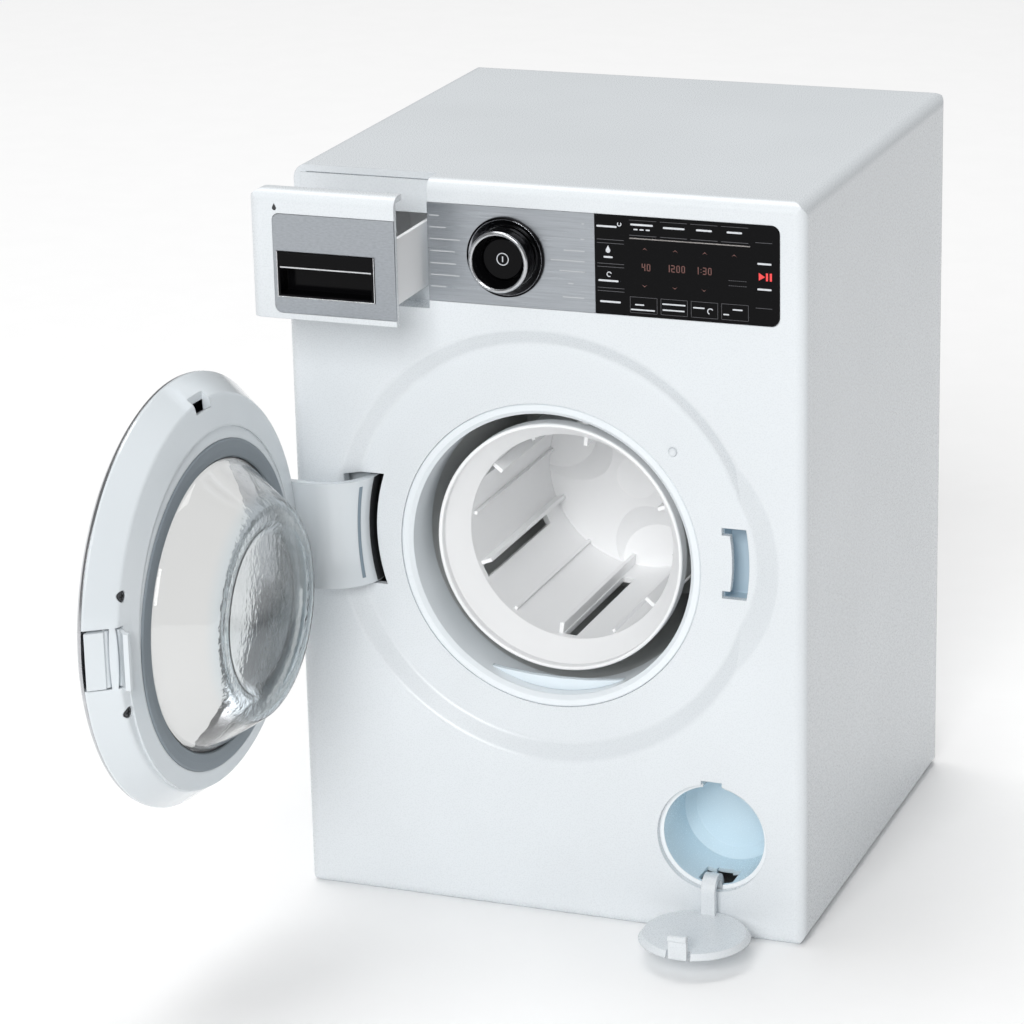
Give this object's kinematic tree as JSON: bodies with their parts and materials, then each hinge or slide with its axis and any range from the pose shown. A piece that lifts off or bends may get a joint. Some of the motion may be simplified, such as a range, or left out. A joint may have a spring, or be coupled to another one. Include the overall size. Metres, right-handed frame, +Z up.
{
  "type": "toy washing machine",
  "caption": "Toy front-loading washing machine with a turning drum, hinged glazed door with latch, pull-out drawer, turning knob with power button, and a filter flap.",
  "frame": {"origin": "middle of the underside of the cabinet", "axes": "+X to the right seen from the front, +Y towards the back, +Z up; the door, drawer and knob face -Y"},
  "size_m": [0.1956, 0.323, 0.26],
  "materials": {
    "white_plastic": "gloss",
    "bright_ring": "gloss",
    "silver_panel": "brushed satin",
    "silver_trim": "satin",
    "chrome_trim": "polished",
    "black_gloss": "gloss",
    "dark_plastic": "matte",
    "grey_plastic": "matte",
    "pale_plastic": "satin",
    "blue_plastic": "translucent satin",
    "clear_plastic": "clear gloss",
    "grey_rubber": "satin",
    "black_rubber": "matte",
    "steel": "bright",
    "bronze": "satin",
    "board_green": "satin",
    "cell_wrap": "satin"
  },
  "bodies": {
    "cabinet": {"cabinet_shell": "white_plastic", "front_panel": "white_plastic", "base_plate": "white_plastic", "back_cover": "white_plastic", "back_screws": "steel", "control_fascia": "silver_panel", "touch_panel": "black_gloss", "knob_bezel": "black_gloss", "knob_ring": "chrome_trim", "porthole_ring": "bright_ring", "drip_lip": "blue_plastic", "tub": "grey_plastic", "drum_bearing": "bronze", "motor": "steel", "motor_bracket": "steel", "motor_screws": "steel", "drive_belt": "black_rubber", "battery_box": "dark_plastic", "battery_cells": "cell_wrap", "battery_springs": "steel", "battery_cover": "white_plastic", "battery_screw": "steel", "circuit_board": "board_green", "board_screws": "steel", "rotary_switch": "dark_plastic", "power_switch": "dark_plastic", "speaker": "dark_plastic", "drawer_guide": "pale_plastic", "latch_catch": "pale_plastic", "hinge_bracket": "pale_plastic", "hinge_pin": "steel", "door_switch": "dark_plastic", "pin_spring": "steel", "filter_cup": "blue_plastic", "flap_pin": "steel"},
    "door": {"door_ring": "white_plastic", "door_trim": "silver_trim", "door_seal": "grey_rubber", "door_bowl": "clear_plastic", "hinge_arm": "white_plastic", "door_screws": "steel", "latch_pin": "steel"},
    "latch": {"latch_lever": "white_plastic"},
    "drawer": {"drawer_front": "white_plastic", "drawer_fascia": "silver_panel", "drawer_grip": "black_gloss", "drawer_tray": "white_plastic"},
    "knob": {"knob_body": "black_gloss", "knob_rim": "silver_trim", "knob_shaft": "pale_plastic", "knob_clip": "steel"},
    "button": {"power_button": "black_gloss"},
    "drum": {"drum_rim": "pale_plastic", "drum_basket": "pale_plastic", "drum_shaft": "steel", "drum_pulley": "dark_plastic"},
    "rotor": {"motor_pulley": "dark_plastic", "motor_rotor": "steel"},
    "flap": {"filter_flap": "white_plastic"},
    "pin": {"door_pin": "pale_plastic"}
  },
  "joints": [
    {"name": "door_hinge", "type": "hinge", "parent": "cabinet", "child": "door", "pos_m": [-0.0807, -0.08095, 0.1343], "axis": [0, 0, -1], "range_deg": [-91.4, 8]},
    {"name": "latch_turn", "type": "hinge", "parent": "door", "child": "latch", "pos_m": [-0.09584, -0.22762, 0.1343], "axis": [0, 0, -1], "range_deg": [0, 8], "stiffness_Nm_per_rad": 0.05, "springref_deg": -2.86},
    {"name": "drawer_slide", "type": "slide", "parent": "cabinet", "child": "drawer", "axis": [0, -1, 0], "range_m": [-0.028, 0.014]},
    {"name": "knob_turn", "type": "hinge", "parent": "cabinet", "child": "knob", "pos_m": [-0.0113, -0.089, 0.2355], "axis": [0, 1, 0], "continuous": true},
    {"name": "power_press", "type": "slide", "parent": "cabinet", "child": "button", "axis": [0, 1, 0], "range_m": [0, 0.001], "stiffness_N_per_m": 400, "springref_m": -0.001},
    {"name": "drum_spin", "type": "hinge", "parent": "cabinet", "child": "drum", "pos_m": [0, -0.039, 0.1302], "axis": [0, 1, 0], "continuous": true},
    {"name": "motor_spin", "type": "hinge", "parent": "cabinet", "child": "rotor", "pos_m": [0, 0.016, 0.0582], "axis": [0, 1, 0], "continuous": true},
    {"name": "flap_turn", "type": "hinge", "parent": "cabinet", "child": "flap", "pos_m": [0.05875, -0.08443, 0.01247], "axis": [-1, 0, 0], "range_deg": [0, 90]},
    {"name": "pin_press", "type": "slide", "parent": "cabinet", "child": "pin", "axis": [0, 1, 0], "range_m": [0, 0.002], "stiffness_N_per_m": 200, "springref_m": -0.001}
  ],
  "couplings": [
    {"joint": "motor_spin", "follows": "drum_spin", "ratio": 5.0217}
  ]
}
